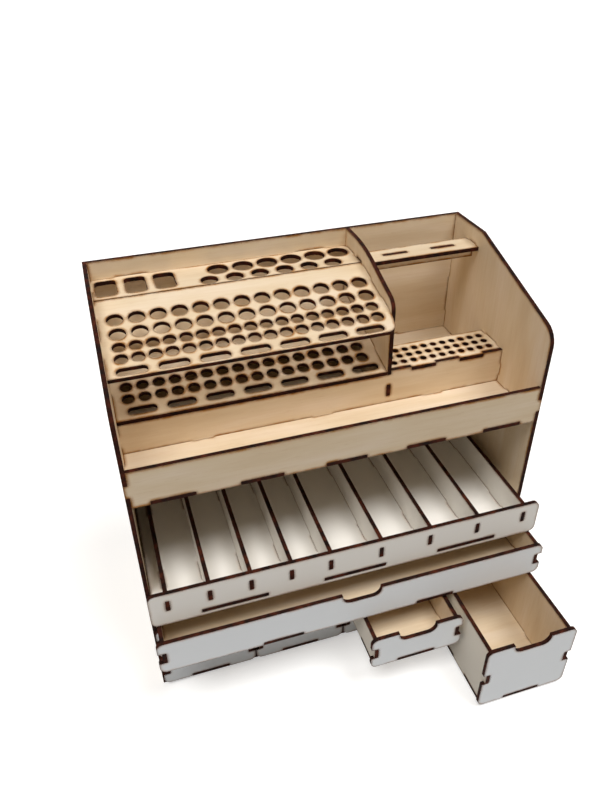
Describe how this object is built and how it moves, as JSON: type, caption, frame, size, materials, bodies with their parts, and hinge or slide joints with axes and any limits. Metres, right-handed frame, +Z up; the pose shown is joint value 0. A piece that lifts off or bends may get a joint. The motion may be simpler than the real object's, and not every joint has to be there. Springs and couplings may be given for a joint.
{
  "type": "hobby workstation organizer",
  "caption": "Plywood desktop organizer with sliding drawers and bottle tray below, and a leaning rack with slots and holes for hand tools above.",
  "frame": {"origin": "centre of the carcass's underside", "axes": "+Z up, -Y towards the user (drawers open along -Y), +X to the user's right"},
  "size_m": [0.3, 0.2452, 0.296],
  "materials": {
    "birch_ply": "satin",
    "white_faced_ply": "satin"
  },
  "bodies": {
    "carcass": {"left_side_panel": "birch_ply", "right_side_panel": "birch_ply", "back_panel": "birch_ply", "base_panel": "birch_ply", "row_panel": "birch_ply", "middle_panel": "birch_ply", "tray_panel": "birch_ply", "deck_panel": "birch_ply", "front_rail": "birch_ply", "riser_panel": "birch_ply", "rack_divider": "birch_ply", "lower_rack_shelf": "birch_ply", "upper_rack_shelf": "birch_ply", "top_shelf": "birch_ply", "bit_plate": "birch_ply", "pliers_bar": "birch_ply", "pliers_bar_stiffener": "birch_ply", "column_divider_1": "birch_ply", "column_divider_2": "birch_ply", "column_divider_3": "birch_ply"},
    "bottle_tray": {"bottle_tray_front": "white_faced_ply", "bottle_tray_floor": "white_faced_ply", "bottle_tray_back": "white_faced_ply", "bottle_tray_outer_walls": "white_faced_ply", "bottle_tray_dividers": "white_faced_ply"},
    "wide_drawer": {"wide_drawer_front": "white_faced_ply", "wide_drawer_floor": "birch_ply", "wide_drawer_back": "birch_ply", "wide_drawer_left_wall": "birch_ply", "wide_drawer_right_wall": "birch_ply"},
    "lower_drawer_1": {"lower_drawer_1_front": "white_faced_ply", "lower_drawer_1_floor": "birch_ply", "lower_drawer_1_back": "birch_ply", "lower_drawer_1_sides": "birch_ply"},
    "lower_drawer_2": {"lower_drawer_2_front": "white_faced_ply", "lower_drawer_2_floor": "birch_ply", "lower_drawer_2_back": "birch_ply", "lower_drawer_2_sides": "birch_ply"},
    "lower_drawer_3": {"lower_drawer_3_front": "white_faced_ply", "lower_drawer_3_floor": "birch_ply", "lower_drawer_3_back": "birch_ply", "lower_drawer_3_sides": "birch_ply"},
    "upper_drawer_1": {"upper_drawer_1_front": "white_faced_ply", "upper_drawer_1_floor": "birch_ply", "upper_drawer_1_back": "birch_ply", "upper_drawer_1_sides": "birch_ply"},
    "upper_drawer_2": {"upper_drawer_2_front": "white_faced_ply", "upper_drawer_2_floor": "birch_ply", "upper_drawer_2_back": "birch_ply", "upper_drawer_2_sides": "birch_ply"},
    "upper_drawer_3": {"upper_drawer_3_front": "white_faced_ply", "upper_drawer_3_floor": "birch_ply", "upper_drawer_3_back": "birch_ply", "upper_drawer_3_sides": "birch_ply"},
    "tall_drawer": {"tall_drawer_front": "white_faced_ply", "tall_drawer_floor": "birch_ply", "tall_drawer_back": "birch_ply", "tall_drawer_sides": "birch_ply"}
  },
  "joints": [
    {"name": "bottle_tray_slide", "type": "slide", "parent": "carcass", "child": "bottle_tray", "axis": [0, -1, 0], "range_m": [-0.021, 0.089]},
    {"name": "wide_drawer_slide", "type": "slide", "parent": "carcass", "child": "wide_drawer", "axis": [0, -1, 0], "range_m": [-0.036, 0.074]},
    {"name": "lower_drawer_1_slide", "type": "slide", "parent": "carcass", "child": "lower_drawer_1", "axis": [0, -1, 0], "range_m": [0, 0.11]},
    {"name": "lower_drawer_2_slide", "type": "slide", "parent": "carcass", "child": "lower_drawer_2", "axis": [0, -1, 0], "range_m": [0, 0.11]},
    {"name": "lower_drawer_3_slide", "type": "slide", "parent": "carcass", "child": "lower_drawer_3", "axis": [0, -1, 0], "range_m": [0, 0.11]},
    {"name": "upper_drawer_1_slide", "type": "slide", "parent": "carcass", "child": "upper_drawer_1", "axis": [0, -1, 0], "range_m": [0, 0.11]},
    {"name": "upper_drawer_2_slide", "type": "slide", "parent": "carcass", "child": "upper_drawer_2", "axis": [0, -1, 0], "range_m": [0, 0.11]},
    {"name": "upper_drawer_3_slide", "type": "slide", "parent": "carcass", "child": "upper_drawer_3", "axis": [0, -1, 0], "range_m": [-0.057, 0.053]},
    {"name": "tall_drawer_slide", "type": "slide", "parent": "carcass", "child": "tall_drawer", "axis": [0, -1, 0], "range_m": [-0.092, 0.018]}
  ]
}
